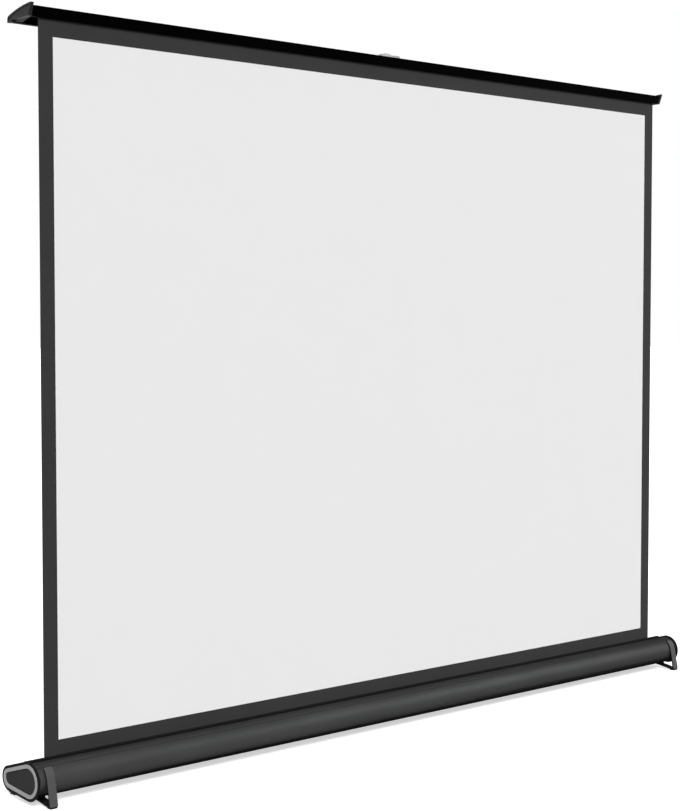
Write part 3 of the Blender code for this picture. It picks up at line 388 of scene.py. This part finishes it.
def ribbon(name, path, thickness, half, materials):
    """A sheet of even thickness that follows a path across the object, from one side to the other."""
    line = [Vector((0, y, z)) for y, z in path]
    vertices = []
    for i, point in enumerate(line):
        along = (line[min(i + 1, len(line) - 1)] - line[max(i - 1, 0)]).normalized()
        aside = Vector((0, -along.z, along.y)) * thickness / 2
        for x in (-half, half):
            for end in (point - aside, point + aside):
                vertices.append((x, end.y, end.z))
    faces = []
    for i in range(len(line) - 1):
        a, b = 4 * i, 4 * i + 4
        faces += [(a, b, b + 2, a + 2), (a + 1, a + 3, b + 3, b + 1),
                  (a, a + 1, b + 1, b), (a + 2, b + 2, b + 3, a + 3)]
    last = 4 * (len(line) - 1)
    faces += [(0, 2, 3, 1), (last, last + 1, last + 3, last + 2)]
    return piece(name, vertices, faces, materials, [0] * len(faces))


def make_roll():
    """The turns left on the roller, wound as one spiral, and the sheet from it to the slot's lip."""
    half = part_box("fabric_wraps")[1][0]
    depth = ROLL_OUTER - ROLL_INNER - LAYER_THICKNESS
    count = ROLL_TURNS * TURN_STEPS
    spiral = []
    for i in range(count + 1):
        angle = 2 * math.pi * i / TURN_STEPS
        radius = ROLL_INNER + LAYER_THICKNESS / 2 + depth * i / count
        spiral.append((ROLL_CENTRE[0] + radius * math.cos(angle), ROLL_CENTRE[1] + radius * math.sin(angle)))
    roll = ribbon("cloth_roll", spiral, LAYER_THICKNESS, half, [CLOTH_BACK])
    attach(roll, "roller")
    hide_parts("fabric_wraps")

    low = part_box("screen_fabric")[0]
    leave_y, leave_z = low[1] + CLOTH_THICKNESS / 2, low[2] + CLOTH_THICKNESS / 2
    path = [(leave_y * (1 - i / TAIL_STEPS), leave_z + (BEND_Z - leave_z) * i / TAIL_STEPS)
            for i in range(TAIL_STEPS + 1)] + [(0.0, SLOT_Z)]
    tail = ribbon("cloth_tail", path, CLOTH_THICKNESS, half, [CLOTH_BORDER])
    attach(tail, "base")


make_screen()
make_roll()


# Floor, light and camera


def white_for_camera(tree, white, other):
    """Mix what the camera and reflections see with what lights the object."""
    path = tree.nodes.new("ShaderNodeLightPath").outputs
    seen = path["Is Camera Ray"]
    for ray in ("Is Glossy Ray", "Is Transmission Ray"):
        either = tree.nodes.new("ShaderNodeMath")
        either.operation = "MAXIMUM"
        tree.links.new(seen, either.inputs[0])
        tree.links.new(path[ray], either.inputs[1])
        seen = either.outputs[0]
    mix = tree.nodes.new("ShaderNodeMixShader")
    for socket, source in enumerate((seen, other.outputs[0], white.outputs[0])):
        tree.links.new(source, mix.inputs[socket])
    return mix


def make_floor():
    """A wide pale floor that the camera sees as white where nothing shades it."""
    mesh = bpy.data.meshes.new("floor")
    corners = [(-FLOOR_REACH, -FLOOR_REACH, 0), (FLOOR_REACH, -FLOOR_REACH, 0),
               (FLOOR_REACH, FLOOR_REACH, 0), (-FLOOR_REACH, FLOOR_REACH, 0)]
    mesh.from_pydata(corners, [], [(0, 1, 2, 3)])
    floor = bpy.data.objects.new("floor", mesh)
    bpy.context.scene.collection.objects.link(floor)
    material = bpy.data.materials.new("pale_floor")
    material.use_nodes = True
    tree = material.node_tree
    tree.nodes.remove(tree.nodes["Principled BSDF"])
    shade = tree.nodes.new("ShaderNodeBsdfDiffuse")
    shade.inputs["Color"].default_value = (*tint(FLOOR_LEVEL), 1)
    glow = tree.nodes.new("ShaderNodeEmission")
    glow.inputs["Strength"].default_value = FLOOR_GLOW
    seen = tree.nodes.new("ShaderNodeAddShader")
    tree.links.new(shade.outputs[0], seen.inputs[0])
    tree.links.new(glow.outputs[0], seen.inputs[1])
    bounce = tree.nodes.new("ShaderNodeBsdfDiffuse")
    bounce.inputs["Color"].default_value = (*tint(FLOOR_BOUNCE), 1)
    mix = white_for_camera(tree, seen, bounce)
    tree.links.new(mix.outputs[0], tree.nodes["Material Output"].inputs["Surface"])
    mesh.materials.append(material)


def make_world():
    """A white sky for the camera, and a soft even light for the object."""
    world = bpy.data.worlds.new("studio")
    bpy.context.scene.world = world
    world.use_nodes = True
    tree = world.node_tree
    soft = tree.nodes["Background"]
    white = tree.nodes.new("ShaderNodeBackground")
    for sky, strength in ((soft, SKY_LIGHT), (white, SKY_WHITE)):
        sky.inputs["Color"].default_value = (1.0, 1.0, 1.0, 1)
        sky.inputs["Strength"].default_value = strength
    mix = white_for_camera(tree, white, soft)
    tree.links.new(mix.outputs[0], tree.nodes["World Output"].inputs["Surface"])


def make_sun(name, towards, strength, spread):
    """A soft, even lamp that shines towards a direction."""
    lamp = bpy.data.lights.new(name, "SUN")
    lamp.energy = strength
    lamp.angle = math.radians(spread)
    sun = bpy.data.objects.new(name, lamp)
    sun.rotation_euler = Vector(towards).to_track_quat("-Z", "Y").to_euler()
    bpy.context.scene.collection.objects.link(sun)


def make_camera():
    """The camera as it was fitted to the photograph."""
    lens = bpy.data.cameras.new("camera")
    lens.sensor_fit = "VERTICAL"
    lens.sensor_height = SENSOR_MM
    lens.lens = LENS_MM
    camera = bpy.data.objects.new("camera", lens)
    camera.location = CAMERA_PLACE
    camera.rotation_euler = (math.pi / 2 + CAMERA_PITCH, 0, CAMERA_TURN)
    bpy.context.scene.collection.objects.link(camera)
    bpy.context.scene.camera = camera


make_floor()
make_world()
for sun in LAMPS:
    make_sun(*sun)
make_camera()
bpy.context.scene.view_settings.view_transform = "Standard"
